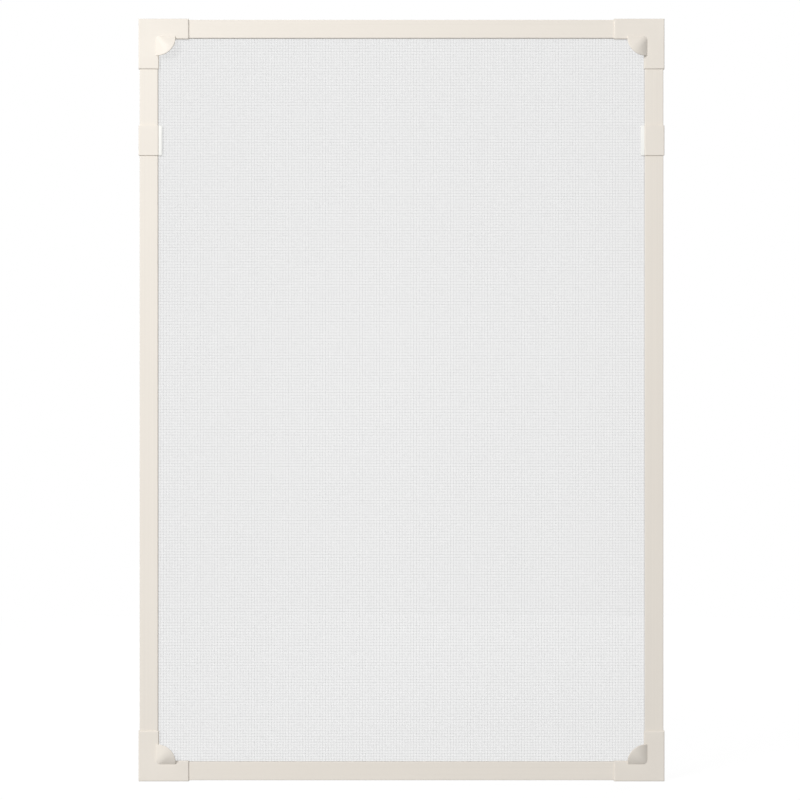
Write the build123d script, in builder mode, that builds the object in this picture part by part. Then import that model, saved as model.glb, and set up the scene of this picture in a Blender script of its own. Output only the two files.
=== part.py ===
from build123d import *
import math
import os

# Magnetic insect screen for a window. Extruded plastic bars carry magnet strips at the rear, beads clamp the
# woven mesh into the bars, and corner caps with finger hoods join them. Each upright edge is two bars, joined
# by a sleeve that a key locks.
# Sizes are in millimetres. X runs to the right, Z up and Y to the rear, where the window frame is.
# The origin is the centre of the rear face of the bottom magnet strip.

os.makedirs("parts", exist_ok=True)

# Overall size, over the corner caps
frame_width = 700.0
frame_height = 1015.0

# Magnet strip, glued into an open slot in the rear of the bar
magnet_width = 12.7
magnet_thickness = 2.3
magnet_proud = 0.3
magnet_fit = 0.15
magnet_setback = 1.0

# Woven mesh, with level threads as ridges on its front and upright threads as ridges on its rear
mesh_pitch = 3.8
mesh_wall = 0.2
thread_width = 0.95
thread_height = 0.3
mesh_edge_gap = 0.3

# Bead that clamps the mesh, with a tongue along its outer edge
bead_width = 6.8
bead_thickness = 2.8
bead_setback = 0.2
bead_fit = 0.05
bead_edge_radius = 0.6
tongue_width = 1.3
tongue_length = 2.4
tongue_end_gap = 0.2

# Walls of the edge bar, a PVC extrusion around the magnet slot, the hollow chamber and the bead
bar_outer_wall = 2.0
bar_middle_wall = 2.6
bar_front_wall = 1.4
bar_edge_radius = 1.0
chamber_outer_wall = 1.4
chamber_inner_wall = 2.2
chamber_rear_wall = 0.9

# Snap grooves along the outer and inner edges of the bar
outer_groove_floor = 2.3
outer_groove_width = 1.0
outer_groove_depth = 0.5
inner_groove_land = 0.9
inner_groove_width = 1.2
inner_groove_depth = 0.6

# Corner caps, with spigots that fill the chambers of the bars and ribs that snap into the outer grooves
cap_arm = 67.0
cap_wall = 1.25
cap_front_wall = 1.8
cap_fit = 0.1
cap_stop_wall = 1.25
cap_edge_radius = 1.5
cap_mesh_gap = 0.15
spigot_length = 30.0
spigot_fit = 0.1
spigot_lead = 1.5
snap_end_gap = 10.0
snap_fit = 0.1
snap_tip_gap = 0.15

# Finger hood of each corner cap, a hollow cone that leans back and opens towards the middle of the screen
hood_reach = 22.2
hood_root = 2.4
hood_foot = 4.2
hood_rise = 9.0
hood_sink = 2.2
hood_wall = 1.8
hood_rim_chamfer = 0.5

# Joint sleeves of the uprights and the keys that lock them
sleeve_length = 39.5
sleeve_drop = 162.0
sleeve_inner_wall = 0.8
joint_gap = 0.4
key_width = 4.4
key_cover = 0.75
key_lip_drop = 0.9
key_edge_radius = 0.7
key_tongue_setback = 4.75
key_fit = 0.1

# Bar section, worked out from what the bar holds
magnet_slot_width = magnet_width + 2 * magnet_fit
magnet_slot_depth = magnet_thickness - magnet_proud
mesh_thickness = mesh_wall + 2 * thread_height
rabbet_start = bar_outer_wall + magnet_slot_width + bar_middle_wall
rabbet_width = bead_width + 2 * bead_fit
mesh_rear = bead_setback + bead_thickness
rabbet_depth = mesh_rear + mesh_thickness
tongue_groove_width = tongue_width + 2 * bead_fit
tongue_groove_depth = tongue_length - mesh_thickness + tongue_end_gap
bar_width = rabbet_start + rabbet_width
bar_depth = rabbet_depth + tongue_groove_depth + bar_front_wall
chamber_width = rabbet_start - chamber_outer_wall - chamber_inner_wall
chamber_floor = magnet_slot_depth + chamber_rear_wall
chamber_depth = bar_depth - bar_front_wall - chamber_floor
inner_groove_floor = rabbet_depth + inner_groove_land

# Places of the bars, the caps and the mesh
bar_inset = cap_wall + cap_fit
cap_width = bar_width + 2 * bar_inset
cap_depth = bar_depth + cap_fit + cap_front_wall
rear = -magnet_proud
left_edge = -frame_width / 2
bottom_edge = -(bar_inset + bar_outer_wall + magnet_slot_width / 2)
mid_height = bottom_edge + frame_height / 2
level_run = frame_width / 2 - cap_width
upright_run = frame_height / 2 - cap_width
joint_run = frame_height / 2 - sleeve_drop
mesh_inset = bar_inset + rabbet_start + tongue_groove_width + mesh_edge_gap
mesh_width = frame_width - 2 * mesh_inset
mesh_height = frame_height - 2 * mesh_inset
mesh_relief = rabbet_depth + cap_mesh_gap

# Section planes: local X runs from the outer to the inner edge of a bar, local Y from its rear to its front
bottom_plane = Plane((0, rear, bottom_edge + bar_inset), x_dir=(0, 0, 1), z_dir=(1, 0, 0))
left_plane = Plane((left_edge + bar_inset, rear, mid_height), x_dir=(1, 0, 0), z_dir=(0, 0, -1))
# Face plane of the bottom left cap: local X runs right, local Y up, and its normal points to the front
cap_plane = Plane((left_edge, rear, bottom_edge), x_dir=(1, 0, 0), z_dir=(0, -1, 0))
middle_plane = Plane.XY.offset(mid_height)

low_corner = (Align.MIN, Align.MIN)


def box_outline(x, y, width, height, mode=Mode.ADD):
    """A rectangle in the current sketch, given by its low corner and its size."""
    with Locations((x, y)):
        Rectangle(width, height, align=low_corner, mode=mode)


def save(part, name):
    """Writes one sub-part under its own name."""
    part.label = name
    export_step(part, f"parts/{name}.step")


def save_pair(part, plane, name, mirrored_name):
    """Writes a sub-part and its mirror image."""
    save(part, name)
    save(mirror(part, about=plane), mirrored_name)


# Edge bars
def edge_bar(plane, start, end):
    """A bar from start to end along the normal of its section plane."""
    with BuildPart() as bar:
        with BuildSketch(plane.offset(start)) as section:
            box_outline(0, 0, bar_width, bar_depth)
            fillet(section.vertices().group_by(Axis.Y)[-1], bar_edge_radius)
            box_outline(bar_outer_wall, 0, magnet_slot_width, magnet_slot_depth, Mode.SUBTRACT)
            box_outline(chamber_outer_wall, chamber_floor, chamber_width, chamber_depth, Mode.SUBTRACT)
            box_outline(0, outer_groove_floor, outer_groove_depth, outer_groove_width, Mode.SUBTRACT)
            box_outline(bar_width - inner_groove_depth, inner_groove_floor, inner_groove_depth,
                        inner_groove_width, Mode.SUBTRACT)
            box_outline(rabbet_start, 0, rabbet_width, rabbet_depth, Mode.SUBTRACT)
            box_outline(rabbet_start, rabbet_depth, tongue_groove_width, tongue_groove_depth, Mode.SUBTRACT)
        extrude(amount=end - start)
    return bar.part


# Magnet strips
def magnet_strip(plane, start, end):
    """A strip set back from both ends of the bar that holds it."""
    with BuildPart() as magnet:
        with BuildSketch(plane.offset(start + magnet_setback)):
            box_outline(bar_outer_wall + magnet_fit, -magnet_proud, magnet_width, magnet_thickness)
        extrude(amount=end - start - 2 * magnet_setback)
    return magnet.part


# Beads that clamp the mesh
def mesh_bead(plane, start, end):
    """A bead with its tongue in the groove of the bar and its body on the mesh."""
    with BuildPart() as bead:
        with BuildSketch(plane.offset(start)) as section:
            box_outline(rabbet_start + bead_fit, bead_setback, bead_width, bead_thickness)
            fillet(section.vertices().group_by(Axis.Y)[0], bead_edge_radius)
            box_outline(rabbet_start + bead_fit, mesh_rear, tongue_width, tongue_length)
        extrude(amount=end - start)
    return bead.part


for make, piece in ((edge_bar, "bar"), (magnet_strip, "magnet")):
    save_pair(make(bottom_plane, -level_run, level_run), middle_plane, f"bottom_{piece}", f"top_{piece}")
    lower = make(left_plane, joint_gap / 2 - joint_run, upright_run)
    upper = make(left_plane, -upright_run, -joint_gap / 2 - joint_run)
    save_pair(lower, Plane.YZ, f"left_lower_{piece}", f"right_lower_{piece}")
    save_pair(upper, Plane.YZ, f"left_upper_{piece}", f"right_upper_{piece}")

save_pair(mesh_bead(bottom_plane, -level_run, level_run), middle_plane, "bottom_bead", "top_bead")
save_pair(mesh_bead(left_plane, -upright_run, upright_run), Plane.YZ, "left_bead", "right_bead")

# Insect mesh
weft_count = int(mesh_height / mesh_pitch)
warp_count = int(mesh_width / mesh_pitch)
mesh_middle = (0, rear - mesh_rear - mesh_thickness / 2, mid_height)
mesh_trim = cap_width - mesh_inset + cap_mesh_gap
# Local Y points to the front for the level threads and to the rear for the upright ones
weft_plane = Plane(mesh_middle, x_dir=(0, 0, 1), z_dir=(1, 0, 0))
warp_plane = Plane(mesh_middle, x_dir=(-1, 0, 0), z_dir=(0, 0, -1))
mesh_face_plane = Plane(mesh_middle, x_dir=(1, 0, 0), z_dir=(0, -1, 0))


def comb_outline(length, count):
    """Points of half the wall, seen along its threads, with the threads as teeth."""
    foot = mesh_wall / 2
    tip = foot + thread_height
    first = -(count - 1) * mesh_pitch / 2 - thread_width / 2
    points = [(-length / 2, 0), (-length / 2, foot)]
    for number in range(count):
        near = first + number * mesh_pitch
        far = near + thread_width
        points += [(near, foot), (near, tip), (far, tip), (far, foot)]
    return points + [(length / 2, foot), (length / 2, 0)]


with BuildPart() as insect_mesh:
    with BuildSketch(weft_plane.offset(-mesh_width / 2)):
        with BuildLine():
            Polyline(*comb_outline(mesh_height, weft_count), close=True)
        make_face()
    extrude(amount=mesh_width)
    with BuildSketch(warp_plane.offset(-mesh_height / 2)):
        with BuildLine():
            Polyline(*comb_outline(mesh_width, warp_count), close=True)
        make_face()
    extrude(amount=mesh_height)
    # Corners trimmed clear of the caps
    with BuildSketch(mesh_face_plane.offset(-mesh_thickness)):
        with GridLocations(mesh_width - mesh_trim, mesh_height - mesh_trim, 2, 2):
            Rectangle(mesh_trim, mesh_trim)
    extrude(amount=2 * mesh_thickness, mode=Mode.SUBTRACT)
save(insect_mesh.part, "insect_mesh")

# Finger hood: its ridge falls from the middle of the rim to an apex behind the front of the cap, which rounds its
# foot, and the cone passes through the ridge and through the ends of the foot on both arms
inward = Vector(1, 0, 1).normalized()
across = Vector(1, 0, -1).normalized()
hood_corner = cap_plane.from_local_coords(Vector(cap_width, cap_width, cap_depth))
hood_nose = hood_root * math.sqrt(2)
hood_slope = hood_rise / (hood_reach + hood_nose)
apex_setback = hood_nose + hood_sink / hood_slope
hood_apex = hood_corner - inward * apex_setback + Vector(0, hood_sink, 0)
foot_run = math.sqrt(hood_reach**2 - hood_foot**2)
foot_end = cap_plane.from_local_coords(Vector(cap_width + foot_run, cap_width - hood_foot, cap_depth))
ridge_line = (inward - Vector(0, hood_slope, 0)).normalized()
foot_line = (foot_end - hood_apex).normalized()
hood_axis = (ridge_line - foot_line).cross(across).normalized()
hood_length = hood_reach + apex_setback
hood_radius = hood_length * math.tan(math.radians(hood_axis.get_angle(ridge_line)))
# The hollow is the same cone, moved in until the ridge is as thick as the wall
hollow_apex = hood_apex + inward * (hood_wall / math.sin(math.atan(hood_slope)))

with BuildPart() as finger_hood:
    for apex, mode in ((hood_apex, Mode.ADD), (hollow_apex, Mode.SUBTRACT)):
        with BuildSketch(Plane(apex, x_dir=hood_axis, z_dir=across)):
            with BuildLine():
                Polyline((0, 0), (hood_length, 0), (hood_length, hood_radius), close=True)
            make_face()
        revolve(axis=Axis(apex, hood_axis), mode=mode)
    with BuildSketch(cap_plane.offset(cap_depth - cap_edge_radius)):
        with Locations((cap_width, cap_width)):
            Circle(hood_reach)
    extrude(amount=cap_edge_radius + 2 * hood_rise, mode=Mode.INTERSECT)
    rim = finger_hood.faces().filter_by(GeomType.CYLINDER)[0]
    chamfer(rim.edges().sort_by(SortBy.LENGTH)[-2:], hood_rim_chamfer)

# Corner cap, open at the rear
socket_length = cap_arm - cap_width
socket_width = bar_width + 2 * cap_fit
socket_depth = bar_depth + cap_fit
pocket = cap_width - cap_wall - cap_stop_wall
spigot_width = chamber_width - 2 * spigot_fit
spigot_offset = bar_inset + chamber_outer_wall + spigot_fit
spigot_start = cap_width - cap_stop_wall / 2
snap_length = socket_length - 2 * snap_end_gap
snap_rise = cap_fit + outer_groove_depth - snap_tip_gap


def both_arms(x, y, width, height, mode=Mode.ADD):
    """The same rectangle along the level arm and along the upright arm."""
    box_outline(x, y, width, height, mode)
    box_outline(y, x, height, width, mode)


with BuildPart() as corner_cap:
    with BuildSketch(cap_plane):
        both_arms(0, 0, cap_arm, cap_width)
    extrude(amount=cap_depth)
    fillet(corner_cap.faces().sort_by(Axis.Y)[0].edges(), cap_edge_radius)
    # Sockets for the two bars and a pocket between their stops
    with BuildSketch(cap_plane):
        both_arms(cap_width, cap_wall, socket_length, socket_width)
        box_outline(cap_wall, cap_wall, pocket, pocket)
    extrude(amount=socket_depth, mode=Mode.SUBTRACT)
    # The inner walls stop short of the mesh
    with BuildSketch(cap_plane):
        both_arms(cap_width, cap_width - cap_wall, socket_length, cap_wall)
    extrude(amount=mesh_relief, mode=Mode.SUBTRACT)
    # Spigots for the chambers of the bars
    with BuildSketch(cap_plane.offset(chamber_floor + spigot_fit)) as spigots:
        both_arms(spigot_start, spigot_offset, spigot_length, spigot_width)
        tips = spigots.vertices().group_by(Axis.X)[-1] + spigots.vertices().group_by(Axis.Y)[-1]
        chamfer(tips, spigot_lead)
    extrude(amount=chamber_depth - 2 * spigot_fit)
    # Ribs that snap into the outer grooves of the bars
    with BuildSketch(cap_plane.offset(outer_groove_floor + snap_fit)):
        both_arms(cap_width + snap_end_gap, cap_wall, snap_length, snap_rise)
    extrude(amount=outer_groove_width - 2 * snap_fit)
    add(finger_hood.part)
bottom_right_cap = mirror(corner_cap.part, about=Plane.YZ)
save_pair(corner_cap.part, middle_plane, "bottom_left_cap", "top_left_cap")
save_pair(bottom_right_cap, middle_plane, "bottom_right_cap", "top_right_cap")

# Joint sleeve of the left upright
joint_plane = left_plane.offset(-joint_run)
sleeve_width = bar_inset + bar_width + cap_fit + sleeve_inner_wall
sleeve_inner = bar_width + cap_fit
tongue_half = sleeve_length / 2 - key_tongue_setback

with BuildPart() as joint_sleeve:
    with BuildSketch(joint_plane) as section:
        box_outline(-bar_inset, 0, sleeve_width, cap_depth)
        fillet(section.vertices().group_by(Axis.Y)[-1], cap_edge_radius)
        box_outline(-cap_fit, 0, socket_width, socket_depth, Mode.SUBTRACT)
        box_outline(sleeve_inner, 0, sleeve_inner_wall, mesh_relief, Mode.SUBTRACT)
        box_outline(-cap_fit, outer_groove_floor + snap_fit, snap_rise, outer_groove_width - 2 * snap_fit)
    extrude(amount=sleeve_length / 2, both=True)
    # Window for the tongue of the key
    with BuildSketch(joint_plane):
        box_outline(sleeve_inner, inner_groove_floor, sleeve_inner_wall, inner_groove_width)
    extrude(amount=tongue_half + key_fit, both=True, mode=Mode.SUBTRACT)
save_pair(joint_sleeve.part, Plane.YZ, "left_sleeve", "right_sleeve")

# Key that locks the sleeve to the bars
key_start = sleeve_inner + sleeve_inner_wall
key_end = key_start + key_width
key_tip = bar_width - inner_groove_depth + key_fit
key_tongue_floor = inner_groove_floor + key_fit
key_tongue_height = inner_groove_width - 2 * key_fit
key_top = key_tongue_floor + key_tongue_height + key_cover

with BuildPart() as sleeve_key:
    with BuildSketch(joint_plane) as section:
        with BuildLine():
            Polyline(
                (key_start, mesh_relief),
                (key_end, mesh_relief),
                (key_end, key_top - key_lip_drop),
                (key_start, key_top),
                close=True,
            )
        make_face()
        fillet(section.vertices().group_by(Axis.X)[-1].sort_by(Axis.Y)[-1], key_edge_radius)
    extrude(amount=sleeve_length / 2, both=True)
    with BuildSketch(joint_plane):
        box_outline(key_tip, key_tongue_floor, key_start - key_tip, key_tongue_height)
    extrude(amount=tongue_half, both=True)
save_pair(sleeve_key.part, Plane.YZ, "left_key", "right_key")
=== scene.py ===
"""Looks of a magnetic insect screen: satin cream plastic bars and corner caps around a fine grey netting."""
import math

import bmesh
import bpy
from bpy.props import FloatProperty, FloatVectorProperty, IntProperty, PointerProperty
from mathutils import Matrix, Vector


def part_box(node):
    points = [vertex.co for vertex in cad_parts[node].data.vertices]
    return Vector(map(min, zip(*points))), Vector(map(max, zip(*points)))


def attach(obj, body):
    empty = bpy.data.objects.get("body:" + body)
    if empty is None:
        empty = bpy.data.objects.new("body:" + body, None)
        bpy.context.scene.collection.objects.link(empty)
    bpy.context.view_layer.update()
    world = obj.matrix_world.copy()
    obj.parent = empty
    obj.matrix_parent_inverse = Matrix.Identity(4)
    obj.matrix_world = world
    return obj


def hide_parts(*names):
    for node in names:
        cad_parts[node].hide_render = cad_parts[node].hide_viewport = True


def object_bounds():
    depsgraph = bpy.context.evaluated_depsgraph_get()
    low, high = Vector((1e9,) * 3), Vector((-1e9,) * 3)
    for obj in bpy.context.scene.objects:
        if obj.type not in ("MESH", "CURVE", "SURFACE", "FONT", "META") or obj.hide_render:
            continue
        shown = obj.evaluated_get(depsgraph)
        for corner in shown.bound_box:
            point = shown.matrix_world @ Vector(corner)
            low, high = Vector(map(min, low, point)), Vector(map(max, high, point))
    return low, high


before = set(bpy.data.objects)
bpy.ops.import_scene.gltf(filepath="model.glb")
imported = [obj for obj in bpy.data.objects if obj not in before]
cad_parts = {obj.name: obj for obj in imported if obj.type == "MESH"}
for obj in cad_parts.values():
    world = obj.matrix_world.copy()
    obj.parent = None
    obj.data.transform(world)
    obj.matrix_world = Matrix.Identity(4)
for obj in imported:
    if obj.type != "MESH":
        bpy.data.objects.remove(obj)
cad_low, cad_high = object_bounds()

bl_info = {
    "name": "Magnetic insect screen",
    "version": (1, 0, 0),
    "blender": (4, 5, 0),
    "location": "View3D > Sidebar > Screen",
    "description": "Dresses the bars, caps, magnets and netting of a window insect screen",
    "category": "Object",
}

MM = 0.001
X_AXIS = 0
Z_AXIS = 2
BODY = "root"
SIDES = ("left", "right")
LEVELS = ("top", "bottom")
CAPS = [f"{level}_{side}_cap" for level in LEVELS for side in SIDES]
SLEEVES = [f"{side}_sleeve" for side in SIDES]
KEYS = [f"{side}_key" for side in SIDES]
LEVEL_BARS = [f"{level}_bar" for level in LEVELS]
UPRIGHT_BARS = [f"{side}_{half}_bar" for side in SIDES for half in ("lower", "upper")]
LEVEL_BEADS = [f"{level}_bead" for level in LEVELS]
UPRIGHT_BEADS = [f"{side}_bead" for side in SIDES]
LEVEL_MAGNETS = [name.replace("bar", "magnet") for name in LEVEL_BARS]
UPRIGHT_MAGNETS = [name.replace("bar", "magnet") for name in UPRIGHT_BARS]

# The photograph's own scale: its width in pixels, and the length of one pixel on the front of the screen
PHOTO_PIXELS = 800
PIXEL_SIZE = 1.3303 * MM

# Steps of the round shapes, and the angle from which an edge isn't smoothed
HOOD_TURN_STEPS = 24
HOOD_REACH_STEPS = 20
RIM_STEPS = 3
COVER_STEPS = 4
THREAD_STEPS = 1
FLOOR_STEPS = 96
SMOOTH_ANGLE = math.radians(35)

# Points of a hood that are closer than this become one
WELD_DISTANCE = 0.001 * MM

# Noise lies mostly in this range, which a finish spreads over the values that it needs
NOISE_RANGE = {"From_Min": 0.3, "From_Max": 0.7}


def linear_colour(code):
    """Three linear values from an sRGB hex code."""
    channels = [int(code[place:place + 2], 16) / 255 for place in (1, 3, 5)]
    return [c / 12.92 if c <= 0.04045 else ((c + 0.055) / 1.055) ** 2.4 for c in channels]


class NettingSettings(bpy.types.PropertyGroup):
    """Sizes and colour of the netting."""

    pitch: FloatProperty(
        name="Thread spacing", description="Distance from thread to thread",
        default=0.947 * MM, min=0.5 * MM, unit="LENGTH")
    thread_width: FloatProperty(
        name="Thread width", description="Width of one thread",
        default=0.105 * MM, min=0.05 * MM, unit="LENGTH")
    heavy_width: FloatProperty(
        name="Heavy thread width", description="Width of the heavier threads that show the weave from afar",
        default=0.27 * MM, min=0.05 * MM, unit="LENGTH")
    heavy_step: IntProperty(
        name="Heavy thread step", description="Threads from one heavier thread to the next",
        default=4, min=1)
    thread_thickness: FloatProperty(
        name="Thread thickness", description="Thickness of one thread, front to rear",
        default=0.25 * MM, min=0.05 * MM, unit="LENGTH")
    thread_bevel: FloatProperty(
        name="Thread bevel", description="Bevel along the edges of a thread, which rounds it",
        default=0.04 * MM, min=0.0, unit="LENGTH")
    crossing_sink: FloatProperty(
        name="Crossing sink", description="How far crossing threads sink into each other",
        default=0.04 * MM, min=0.0, unit="LENGTH")
    corner_clearance: FloatProperty(
        name="Corner clearance", description="Gap between the trimmed corners and the corner caps",
        default=0.15 * MM, min=0.0, unit="LENGTH")
    colour: FloatVectorProperty(
        name="Yarn colour", description="Colour of the coated yarn",
        subtype="COLOR", size=3, min=0.0, max=1.0, default=linear_colour("#BABABA"))


class HoodSettings(bpy.types.PropertyGroup):
    """Sizes of the finger hoods, which lie closely over those of the corner caps."""

    reach: FloatProperty(
        name="Hood reach", description="From the inner corner of a cap to the rim of its hood",
        default=22.5 * MM, min=10 * MM, unit="LENGTH")
    foot: FloatProperty(
        name="Hood foot", description="How far outside the inner edges of a cap its hood springs up",
        default=4.4 * MM, min=0.0, unit="LENGTH")
    cover: FloatProperty(
        name="Hood cover", description="How far the crest lies over the hood of the cap",
        default=0.4 * MM, min=0.0, unit="LENGTH")
    crest: FloatProperty(
        name="Hood crest", description="From the foot to where the hood runs level",
        default=21.5 * MM, min=5 * MM, unit="LENGTH")
    corner_radius: FloatProperty(
        name="Hood corner radius", description="Radius of the hood round its outer corner",
        default=6.0 * MM, min=1 * MM, unit="LENGTH")
    root: FloatProperty(
        name="Hood root", description="How deep the foot of the hood sinks into the front of the cap",
        default=1.2 * MM, min=0.0, unit="LENGTH")
    wall: FloatProperty(
        name="Hood wall", description="Thickness of the hood",
        default=1.2 * MM, min=0.2 * MM, unit="LENGTH")
    rim_bevel: FloatProperty(
        name="Rim bevel", description="Bevel round the front edge of the rim",
        default=0.8 * MM, min=0.0, unit="LENGTH")


class KeySettings(bpy.types.PropertyGroup):
    """Sizes of the white covers on the sleeve keys."""

    rise: FloatProperty(
        name="Cover rise", description="How far a cover stands in front of its key",
        default=1.6 * MM, min=0.1 * MM, unit="LENGTH")
    margin: FloatProperty(
        name="Cover margin", description="How far a cover reaches past the free edges of its key",
        default=0.25 * MM, min=0.0, unit="LENGTH")
    edge_radius: FloatProperty(
        name="Cover edge radius", description="Rounding of the free edges of a cover",
        default=0.6 * MM, min=0.0, unit="LENGTH")


class FinishSettings(bpy.types.PropertyGroup):
    """Colours of the plastics and of the magnet strips."""

    cream: FloatVectorProperty(
        name="Cream", description="Colour of the bars, corner caps, finger hoods and sleeves",
        subtype="COLOR", size=3, min=0.0, max=1.0, default=linear_colour("#EEE7DD"))
    white: FloatVectorProperty(
        name="White", description="Colour of the sleeve keys and their covers",
        subtype="COLOR", size=3, min=0.0, max=1.0, default=linear_colour("#FAFAF6"))
    bead: FloatVectorProperty(
        name="Bead", description="Colour of the soft beads that clamp the netting",
        subtype="COLOR", size=3, min=0.0, max=1.0, default=linear_colour("#E6DFD4"))
    magnet: FloatVectorProperty(
        name="Magnet", description="Colour of the magnet strips",
        subtype="COLOR", size=3, min=0.0, max=1.0, default=linear_colour("#3A332E"))


class StageSettings(bpy.types.PropertyGroup):
    """Camera, lamps and floor."""

    camera_distance: FloatProperty(
        name="Camera distance", description="From the front of the sleeves to the camera",
        default=3.2, min=0.5, unit="LENGTH")
    camera_shift: FloatProperty(
        name="Camera offset",
        description="How far the camera stands to the left of the middle of the screen",
        default=1.5 * PIXEL_SIZE, unit="LENGTH")
    key_place: FloatVectorProperty(
        name="Key lamp place", description="From the middle of the screen to the key lamp",
        subtype="TRANSLATION", unit="LENGTH", size=3, default=(-2.3, -3.52, 1.92))
    key_aim: FloatVectorProperty(
        name="Key lamp aim",
        description="From the middle of the screen to the point that the key lamp faces",
        subtype="TRANSLATION", unit="LENGTH", size=3, default=(0.2, 0.0, 0.3))
    lamp_size: FloatProperty(
        name="Lamp size", description="Side of each square lamp",
        default=1.6, min=0.1, unit="LENGTH")
    key_power: FloatProperty(
        name="Key lamp power", description="Power of the key lamp in watts",
        default=141.0, min=0.0, unit="POWER")
    rear_power: FloatProperty(
        name="Rear lamp power",
        description="Power in watts of the lamp that stands opposite, behind the screen",
        default=70.0, min=0.0, unit="POWER")
    fill_strength: FloatProperty(
        name="Fill strength", description="Strength of the even light from all round",
        default=0.4, min=0.0, max=1.0, subtype="FACTOR")
    floor_radius: FloatProperty(
        name="Floor radius", description="Radius of the round floor under the screen",
        default=2.5, min=0.5, unit="LENGTH")
    floor_bounce: FloatProperty(
        name="Floor bounce", description="Strength of the even light that the floor sends on by itself",
        default=0.37, min=0.0, max=1.0, subtype="FACTOR")
    floor_glow: FloatProperty(
        name="Floor glow", description="Share of white that the floor shows to the camera by itself",
        default=0.93, min=0.0, max=1.0, subtype="FACTOR")
    floor_tone: FloatProperty(
        name="Floor tone",
        description="Share of the lamps' light that the floor scatters, which shows its shadow",
        default=0.1, min=0.0, max=1.0, subtype="FACTOR")


def add_node(tree, kind, settings=None, *values, **named):
    """Adds a node with its settings. Values fill its sockets by place or by name, and outputs are linked."""
    node = tree.nodes.new(kind)
    for name, value in (settings or {}).items():
        setattr(node, name, value)
    sockets = [node.inputs[place] for place in range(len(values))]
    sockets += [node.inputs[name.replace("_", " ")] for name in named]
    for socket, value in zip(sockets, [*values, *named.values()]):
        if isinstance(value, bpy.types.NodeSocket):
            tree.links.new(value, socket)
        else:
            socket.default_value = value
    return node


def new_material(name):
    """An empty material and its node tree."""
    material = bpy.data.materials.new(name)
    material.use_nodes = True
    material.node_tree.nodes.clear()
    return material, material.node_tree


def shade(colour, share):
    """The same hue, lighter or darker, as a colour socket takes it."""
    return [min(1.0, channel * share) for channel in colour] + [1.0]


def along(run_axis, across, length):
    """Patch sizes that are long along one axis and short across it."""
    return [length if axis == run_axis else across for axis in "XYZ"]


def stretched_noise(tree, sizes, detail=2.0):
    """Noise whose patches have the given sizes in metres along X, Y and Z of the object."""
    place = add_node(tree, "ShaderNodeTexCoord").outputs["Object"]
    scaled = add_node(tree, "ShaderNodeMapping", Vector=place, Scale=[1 / size for size in sizes])
    noise = add_node(tree, "ShaderNodeTexNoise", Vector=scaled.outputs["Vector"], Scale=1.0, Detail=detail)
    return noise.outputs["Fac"]


def surface(tree, tone, tones, roughness, relief, depth, ior, specular=0.5):
    """Closes a dielectric material: its tone between two colours, and a relief with its depth in metres."""
    dark, light = tones
    base = add_node(tree, "ShaderNodeMix", {"data_type": "RGBA"}, Factor=tone, A=dark, B=light)
    bump = add_node(tree, "ShaderNodeBump", Height=relief, Distance=depth, Strength=1.0)
    shader = add_node(tree, "ShaderNodeBsdfPrincipled", Base_Color=base.outputs["Result"],
                      Roughness=roughness, IOR=ior, Specular_IOR_Level=specular,
                      Normal=bump.outputs["Normal"])
    add_node(tree, "ShaderNodeOutputMaterial", Surface=shader.outputs["BSDF"])


def extruded_vinyl(name, colour, run_axis):
    """Rigid PVC drawn through a die: satin, with faint lines along its length and slow changes of tone."""
    material, tree = new_material(name)
    # Die lines are a few tenths of a millimetre apart, and are drawn 2 mm apart so that they show
    lines = stretched_noise(tree, along(run_axis, across=2.0 * MM, length=700 * MM), detail=3.0)
    # Clouds of tone are some centimetres wide, and longer along the bar
    clouds = stretched_noise(tree, along(run_axis, across=60 * MM, length=160 * MM))
    line_tone = add_node(tree, "ShaderNodeMapRange", Value=lines, **NOISE_RANGE, To_Min=0.0, To_Max=0.6)
    cloud_tone = add_node(tree, "ShaderNodeMapRange", Value=clouds, **NOISE_RANGE, To_Min=0.0, To_Max=0.4)
    tone = add_node(tree, "ShaderNodeMath", {"operation": "ADD"},
                    line_tone.outputs["Result"], cloud_tone.outputs["Result"])
    rough = add_node(tree, "ShaderNodeMapRange", Value=lines, **NOISE_RANGE, To_Min=0.46, To_Max=0.56)
    surface(tree, tone.outputs["Value"], (shade(colour, share=0.975), shade(colour, share=1.02)),
            rough.outputs["Result"], lines, depth=0.02 * MM, ior=1.53)
    return material


def moulded_plastic(name, colour):
    """Moulded ABS from a spark-eroded tool: satin, with a fine even grain and hardly any change of tone."""
    material, tree = new_material(name)
    # The grain is about 0.3 mm, and is drawn at 0.9 mm so that it shows
    grain = stretched_noise(tree, [0.9 * MM] * 3, detail=3.0)
    # Clouds of tone are some centimetres wide
    clouds = stretched_noise(tree, [35 * MM] * 3)
    tone = add_node(tree, "ShaderNodeMapRange", Value=clouds, **NOISE_RANGE, To_Min=0.0, To_Max=1.0)
    rough = add_node(tree, "ShaderNodeMapRange", Value=grain, **NOISE_RANGE, To_Min=0.52, To_Max=0.64)
    surface(tree, tone.outputs["Result"], (shade(colour, share=0.985), shade(colour, share=1.015)),
            rough.outputs["Result"], grain, depth=0.02 * MM, ior=1.54)
    return material


def soft_vinyl(name, colour, run_axis):
    """Soft PVC cord pressed into its groove: dull, with long shallow pulls along its length."""
    material, tree = new_material(name)
    # Pulls are 1.5 mm apart, about a quarter of the width of the cord
    pulls = stretched_noise(tree, along(run_axis, across=1.5 * MM, length=90 * MM), detail=3.0)
    tone = add_node(tree, "ShaderNodeMapRange", Value=pulls, **NOISE_RANGE, To_Min=0.0, To_Max=1.0)
    rough = add_node(tree, "ShaderNodeMapRange", Value=pulls, **NOISE_RANGE, To_Min=0.5, To_Max=0.62)
    surface(tree, tone.outputs["Result"], (shade(colour, share=0.95), shade(colour, share=1.03)),
            rough.outputs["Result"], pulls, depth=0.05 * MM, ior=1.52)
    return material


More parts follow.
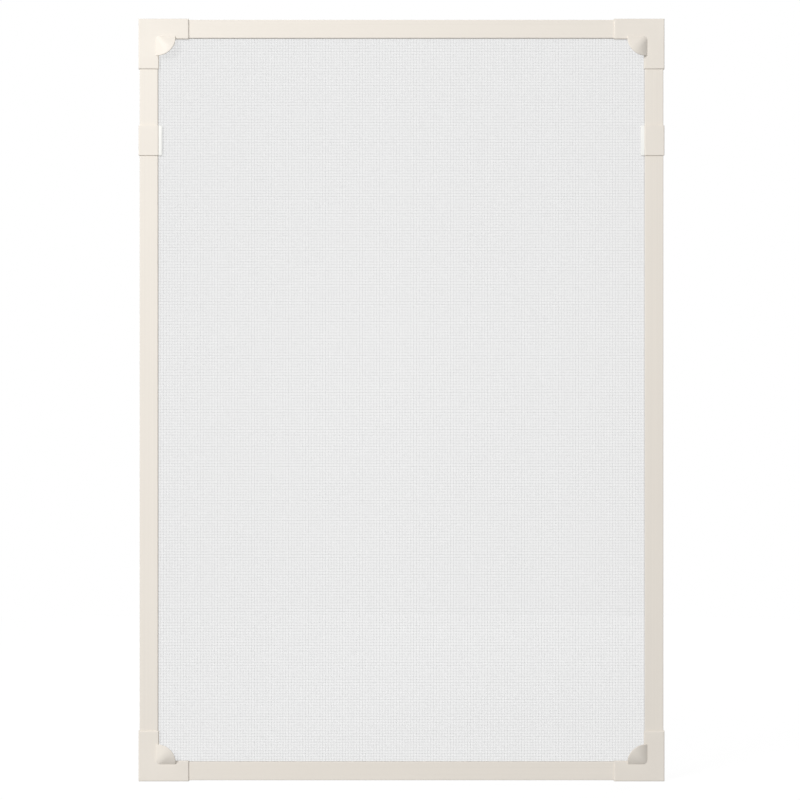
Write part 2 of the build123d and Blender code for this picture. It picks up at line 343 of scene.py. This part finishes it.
def magnet_rubber(name, colour, run_axis):
    """Ferrite powder in rubber, rolled to a strip: dull brown black, speckled, with lines of the rollers."""
    material, tree = new_material(name)
    # Ferrite specks are some hundredths of a millimetre, and are drawn at 0.7 mm so that they show
    specks = stretched_noise(tree, [0.7 * MM] * 3, detail=4.0)
    # Roller lines are 1.6 mm apart, an eighth of the width of the strip
    lines = stretched_noise(tree, along(run_axis, across=1.6 * MM, length=120 * MM))
    tone = add_node(tree, "ShaderNodeMapRange", Value=specks, **NOISE_RANGE, To_Min=0.0, To_Max=1.0)
    rough = add_node(tree, "ShaderNodeMapRange", Value=lines, **NOISE_RANGE, To_Min=0.55, To_Max=0.72)
    surface(tree, tone.outputs["Result"], (shade(colour, share=0.7), shade(colour, share=1.35)),
            rough.outputs["Result"], lines, depth=0.04 * MM, ior=1.52)
    return material


def coated_yarn(name, colour):
    """Glass yarn dipped in vinyl: neutral grey and dull, with the slant of its twist just showing."""
    material, tree = new_material(name)
    # The twist turns once in about 1 mm, and is drawn at 3 mm so that it shows
    twist_length = 3.0 * MM
    # A wave of scale 1 turns once in tau / 10
    wave_scale = math.tau / 10 / twist_length
    place = add_node(tree, "ShaderNodeTexCoord").outputs["Object"]
    wave = add_node(tree, "ShaderNodeTexWave", {"bands_direction": "DIAGONAL"}, Vector=place,
                    Scale=wave_scale, Distortion=1.5)
    twist = wave.outputs["Fac"]
    surface(tree, twist, (shade(colour, share=0.93), shade(colour, share=1.05)),
            roughness=0.55, relief=twist, depth=0.03 * MM, ior=1.5, specular=0.3)
    return material


def dress(names, material):
    """Gives a finish to solids of the frame."""
    for name in names:
        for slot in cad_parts[name].material_slots:
            slot.material = material


def place_mesh(mesh_builder, name, material):
    """Turns a bmesh into an object at the origin."""
    mesh = bpy.data.meshes.new(name)
    mesh_builder.to_mesh(mesh)
    mesh_builder.free()
    mesh.materials.append(material)
    piece = bpy.data.objects.new(name, mesh)
    bpy.context.scene.collection.objects.link(piece)
    return piece


class SCREEN_OT_bars(bpy.types.Operator):
    """Finishes the six edge bars as extruded rigid vinyl"""

    bl_idname = "insect_screen.bars"
    bl_label = "Edge bars"

    def execute(self, context):
        cream = context.scene.screen_finish.cream
        dress(LEVEL_BARS, extruded_vinyl("extruded_vinyl_level", cream, "X"))
        dress(UPRIGHT_BARS, extruded_vinyl("extruded_vinyl_upright", cream, "Z"))
        return {"FINISHED"}


class SCREEN_OT_caps(bpy.types.Operator):
    """Finishes the corner caps and the joint sleeves as moulded plastic"""

    bl_idname = "insect_screen.caps"
    bl_label = "Corner caps and sleeves"

    def execute(self, context):
        dress(CAPS + SLEEVES, moulded_plastic("moulded_plastic_cream", context.scene.screen_finish.cream))
        return {"FINISHED"}


def hood_height(right, up, settings, rise):
    """Height of a hood over the front of its cap, at a place measured from the two lines of its foot."""
    radius = settings.corner_radius
    apart = right - up
    if abs(apart) < radius:
        # Lines of one height turn round the corner with the same radius
        run = (right + up - 2 * radius + math.sqrt(2 * radius ** 2 - apart ** 2)) / 2
    else:
        run = min(right, up)
    bend = (settings.crest ** 2 + rise ** 2) / (2 * rise)
    short = max(0.0, settings.crest - run)
    return max(-settings.root, rise - bend + math.sqrt(bend ** 2 - short ** 2))


def hood_point(turn, share, settings, rise):
    """Place of a point of a hood from the inner corner of its cap, and its height over the front of the cap.

    The hood is a fan, which starts a little outside its foot and turns from one arm of the cap to the other.
    """
    margin = settings.root
    setback = settings.foot + margin
    # The fan reaches to the rim, which is round about the inner corner of the cap
    middle = setback * (math.cos(turn) + math.sin(turn))
    length = share * (middle + math.sqrt(middle ** 2 - 2 * setback ** 2 + settings.reach ** 2))
    right = length * math.cos(turn)
    up = length * math.sin(turn)
    return right - setback, up - setback, hood_height(right - margin, up - margin, settings, rise)


class SCREEN_OT_hoods(bpy.types.Operator):
    """Moulds a finger hood over the hood of each corner cap, with a steep foot and a level crest"""

    bl_idname = "insect_screen.hoods"
    bl_label = "Finger hoods"

    def execute(self, context):
        settings = context.scene.screen_hood
        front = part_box(SLEEVES[0])[0].y
        level_low, level_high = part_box(LEVEL_BEADS[0])
        upright_low, upright_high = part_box(UPRIGHT_BEADS[0])
        # Each hood starts as a square grid with a side of 1, made about its middle
        half = 0.5
        for name in CAPS:
            inward_x = 1 if "left" in name else -1
            inward_z = 1 if "bottom" in name else -1
            corner_x = level_low.x if inward_x > 0 else level_high.x
            corner_z = upright_low.z if inward_z > 0 else upright_high.z
            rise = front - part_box(name)[0].y + settings.cover
            # X of the grid becomes the turn of the fan, and Y runs from its start to its rim
            hood = bmesh.new()
            bmesh.ops.create_grid(hood, x_segments=HOOD_TURN_STEPS, y_segments=HOOD_REACH_STEPS, size=half)
            last_row = max(vert.co.y for vert in hood.verts)
            rim = [edge for edge in hood.edges if all(vert.co.y == last_row for vert in edge.verts)]
            for vert in hood.verts:
                turn = (vert.co.x + half) * math.pi / 2
                right, up, height = hood_point(turn, vert.co.y + half, settings, rise)
                vert.co = (corner_x + inward_x * right, front - height, corner_z + inward_z * up)
            bmesh.ops.remove_doubles(hood, verts=hood.verts, dist=WELD_DISTANCE)
            bmesh.ops.recalc_face_normals(hood, faces=hood.faces)
            bmesh.ops.solidify(hood, geom=hood.faces[:], thickness=settings.wall)
            bmesh.ops.bevel(hood, geom=rim, offset=settings.rim_bevel, affect="EDGES",
                            segments=RIM_STEPS, profile=0.5, material=-1)
            cap_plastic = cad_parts[name].material_slots[0].material
            piece = place_mesh(hood, name.replace("cap", "hood"), cap_plastic)
            piece.data.shade_smooth()
            piece.data.set_sharp_from_angle(angle=SMOOTH_ANGLE)
            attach(piece, BODY)
        return {"FINISHED"}


class SCREEN_OT_keys(bpy.types.Operator):
    """Finishes the sleeve keys as white moulded plastic and moulds a rounded cover over each"""

    bl_idname = "insect_screen.keys"
    bl_label = "Sleeve keys"

    def execute(self, context):
        settings = context.scene.screen_key
        margin = settings.margin
        white = moulded_plastic("moulded_plastic_white", context.scene.screen_finish.white)
        dress(KEYS, white)
        for name, sleeve in zip(KEYS, SLEEVES):
            key_low, key_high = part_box(name)
            sleeve_low, sleeve_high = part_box(sleeve)
            # The rear of a cover lies a little inside its key
            low = key_low - Vector((margin, settings.rise, margin))
            high = key_high + Vector((margin, -margin, margin))
            # A cover starts at the inner face of its sleeve
            if "left" in name:
                start = sleeve_high.x
                low.x = start
            else:
                start = sleeve_low.x
                high.x = start
            box_matrix = Matrix.LocRotScale((low + high) / 2, None, high - low)
            cover = bmesh.new()
            bmesh.ops.create_cube(cover, size=1.0, matrix=box_matrix)
            free_edges = [edge for edge in cover.edges
                          if any(abs(vert.co.x - start) > margin for vert in edge.verts)
                          and any(vert.co.y < high.y - margin for vert in edge.verts)]
            bmesh.ops.bevel(cover, geom=free_edges, offset=settings.edge_radius, affect="EDGES",
                            segments=COVER_STEPS, profile=0.5, material=-1)
            piece = place_mesh(cover, f"{name}_cover", white)
            piece.data.shade_smooth()
            piece.data.set_sharp_from_angle(angle=SMOOTH_ANGLE)
            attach(piece, BODY)
        return {"FINISHED"}


class SCREEN_OT_beads(bpy.types.Operator):
    """Finishes the beads that clamp the netting as soft vinyl"""

    bl_idname = "insect_screen.beads"
    bl_label = "Netting beads"

    def execute(self, context):
        colour = context.scene.screen_finish.bead
        dress(LEVEL_BEADS, soft_vinyl("soft_vinyl_level", colour, "X"))
        dress(UPRIGHT_BEADS, soft_vinyl("soft_vinyl_upright", colour, "Z"))
        return {"FINISHED"}


class SCREEN_OT_magnets(bpy.types.Operator):
    """Finishes the magnet strips at the rear of the bars"""

    bl_idname = "insect_screen.magnets"
    bl_label = "Magnet strips"

    def execute(self, context):
        colour = context.scene.screen_finish.magnet
        dress(LEVEL_MAGNETS, magnet_rubber("magnet_rubber_level", colour, "X"))
        dress(UPRIGHT_MAGNETS, magnet_rubber("magnet_rubber_upright", colour, "Z"))
        return {"FINISHED"}


def thread_places(low, high, pitch):
    """Places of the threads across the netting, even about its middle."""
    count = int((high - low) / pitch)
    first = (low + high - (count - 1) * pitch) / 2
    return [first + number * pitch for number in range(count)]


class SCREEN_OT_netting(bpy.types.Operator):
    """Lays the netting thread by thread: level threads in front, upright threads behind"""

    bl_idname = "insect_screen.netting"
    bl_label = "Netting"

    def execute(self, context):
        settings = context.scene.screen_netting
        low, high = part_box("insect_mesh")
        rear_depth = high.y - settings.thread_thickness / 2
        front_depth = rear_depth - settings.thread_thickness + settings.crossing_sink
        # The beads end where the corner caps begin, and the corners of the netting stop short of the caps
        level_low, level_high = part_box(LEVEL_BEADS[0])
        upright_low, upright_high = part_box(UPRIGHT_BEADS[0])
        gap = settings.corner_clearance
        inner_low = Vector((level_low.x + gap, 0, upright_low.z + gap))
        inner_high = Vector((level_high.x - gap, 0, upright_high.z - gap))
        threads = bmesh.new()
        # Threads that run along one axis are set side by side along the other
        for run, step, depth in ((X_AXIS, Z_AXIS, front_depth), (Z_AXIS, X_AXIS, rear_depth)):
            for number, place in enumerate(thread_places(low[step], high[step], settings.pitch)):
                # A heavier thread at even steps lets the weave show from afar, as it does in the photograph
                width = settings.thread_width if number % settings.heavy_step else settings.heavy_width
                beside_cap = not inner_low[step] + width / 2 < place < inner_high[step] - width / 2
                start, end = (inner_low[run], inner_high[run]) if beside_cap else (low[run], high[run])
                centre = Vector((0, depth, 0))
                centre[run] = (start + end) / 2
                centre[step] = place
                size = Vector((width, settings.thread_thickness, width))
                size[run] = end - start
                bmesh.ops.create_cube(threads, size=1.0, matrix=Matrix.LocRotScale(centre, None, size))
        long_edges = [edge for edge in threads.edges if edge.calc_length() > settings.pitch]
        bmesh.ops.bevel(threads, geom=long_edges, offset=settings.thread_bevel, affect="EDGES",
                        segments=THREAD_STEPS, profile=0.5, material=-1)
        net = place_mesh(threads, "netting", coated_yarn("coated_yarn_grey", settings.colour))
        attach(net, BODY)
        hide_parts("insect_mesh")
        return {"FINISHED"}


def shine_strength(tree, unseen, seen):
    """One strength where the camera, gloss or glass looks, and another for rays that only carry light."""
    light_path = add_node(tree, "ShaderNodeLightPath")
    looks = light_path.outputs["Is Camera Ray"]
    for ray in ("Is Glossy Ray", "Is Transmission Ray"):
        either = add_node(tree, "ShaderNodeMath", {"operation": "MAXIMUM"}, looks, light_path.outputs[ray])
        looks = either.outputs["Value"]
    return add_node(tree, "ShaderNodeMapRange", Value=looks, To_Min=unseen, To_Max=seen).outputs["Result"]


def floor_finish(name, bounce, glow, tone):
    """A matt floor that is near white to the camera, sends some even light up and still takes a shadow."""
    material, tree = new_material(name)
    shine = add_node(tree, "ShaderNodeEmission", Strength=shine_strength(tree, bounce, glow))
    matt = add_node(tree, "ShaderNodeBsdfDiffuse", Color=(tone, tone, tone, 1.0))
    both = add_node(tree, "ShaderNodeAddShader", None, shine.outputs["Emission"], matt.outputs["BSDF"])
    add_node(tree, "ShaderNodeOutputMaterial", Surface=both.outputs["Shader"])
    return material


def studio_world(fill_strength):
    """Even light from all round, and plain white where the camera, gloss or glass looks past the screen."""
    world = bpy.data.worlds.new("studio")
    world.use_nodes = True
    tree = world.node_tree
    tree.nodes.clear()
    strength = shine_strength(tree, fill_strength, 1.0)
    sky = add_node(tree, "ShaderNodeBackground", Color=(1, 1, 1, 1), Strength=strength)
    add_node(tree, "ShaderNodeOutputWorld", Surface=sky.outputs["Background"])
    return world


class SCREEN_OT_stage(bpy.types.Operator):
    """Sets the floor, the white surroundings, the two lamps and the camera"""

    bl_idname = "insect_screen.stage"
    bl_label = "Stage"

    def execute(self, context):
        scene = context.scene
        settings = scene.screen_stage
        middle = (cad_low + cad_high) / 2
        sleeve_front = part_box(SLEEVES[0])[0].y

        floor_mesh = bmesh.new()
        bmesh.ops.create_circle(floor_mesh, cap_ends=True, segments=FLOOR_STEPS,
                                radius=settings.floor_radius, matrix=Matrix.Translation((0, 0, cad_low.z)))
        floor_white = floor_finish("matt_white_floor", settings.floor_bounce, settings.floor_glow,
                                   settings.floor_tone)
        place_mesh(floor_mesh, "floor", floor_white)
        scene.world = studio_world(settings.fill_strength)

        # The key lamp hangs in front of the screen, above its top left corner, and the rear lamp opposite
        key_place = Vector(settings.key_place)
        key_aim = Vector(settings.key_aim)
        half_turn = Matrix.Rotation(math.pi, 3, "Z")
        for name, place, aim, power in (
                ("key_lamp", key_place, key_aim, settings.key_power),
                ("rear_lamp", half_turn @ key_place, half_turn @ key_aim, settings.rear_power)):
            light = bpy.data.lights.new(name, "AREA")
            light.size = settings.lamp_size
            light.energy = power
            lamp = bpy.data.objects.new(name, light)
            lamp.location = middle + place
            lamp.rotation_euler = (place - aim).to_track_quat("Z", "Y").to_euler()
            scene.collection.objects.link(lamp)

        lens = bpy.data.cameras.new("camera")
        lens.lens = lens.sensor_width * settings.camera_distance / (PHOTO_PIXELS * PIXEL_SIZE)
        camera = bpy.data.objects.new("camera", lens)
        camera.location = (-settings.camera_shift, sleeve_front - settings.camera_distance, middle.z)
        # A quarter turn from looking down makes the camera look level to the rear
        camera.rotation_euler = (math.pi / 2, 0, 0)
        scene.collection.objects.link(camera)
        scene.camera = camera
        scene.view_settings.view_transform = "Standard"
        return {"FINISHED"}


class SCREEN_PT_panel(bpy.types.Panel):
    """Lists the steps and the settings of the screen"""

    bl_idname = "SCREEN_PT_panel"
    bl_label = "Insect screen"
    bl_space_type = "VIEW_3D"
    bl_region_type = "UI"
    bl_category = "Screen"

    def draw(self, context):
        for operator in OPERATORS:
            self.layout.operator(operator.bl_idname)
        for name in SETTINGS:
            group = getattr(context.scene, name)
            box = self.layout.box()
            for setting in group.__annotations__:
                box.prop(group, setting)


OPERATORS = (SCREEN_OT_bars, SCREEN_OT_caps, SCREEN_OT_hoods, SCREEN_OT_keys, SCREEN_OT_beads,
             SCREEN_OT_magnets, SCREEN_OT_netting, SCREEN_OT_stage)
SETTINGS = {
    "screen_netting": NettingSettings,
    "screen_hood": HoodSettings,
    "screen_key": KeySettings,
    "screen_finish": FinishSettings,
    "screen_stage": StageSettings,
}


def register():
    """Registers the settings, the operators and the panel."""
    for name, group in SETTINGS.items():
        bpy.utils.register_class(group)
        setattr(bpy.types.Scene, name, PointerProperty(type=group))
    for cls in OPERATORS + (SCREEN_PT_panel,):
        bpy.utils.register_class(cls)


def unregister():
    """Takes everything that register added away again."""
    for cls in reversed(OPERATORS + (SCREEN_PT_panel,)):
        bpy.utils.unregister_class(cls)
    for name, group in SETTINGS.items():
        delattr(bpy.types.Scene, name)
        bpy.utils.unregister_class(group)


def main():
    """Builds the dressed screen."""
    register()
    bpy.ops.insect_screen.bars()
    bpy.ops.insect_screen.caps()
    bpy.ops.insect_screen.hoods()
    bpy.ops.insect_screen.keys()
    bpy.ops.insect_screen.beads()
    bpy.ops.insect_screen.magnets()
    bpy.ops.insect_screen.netting()
    bpy.ops.insect_screen.stage()


if __name__ == "__main__":
    main()
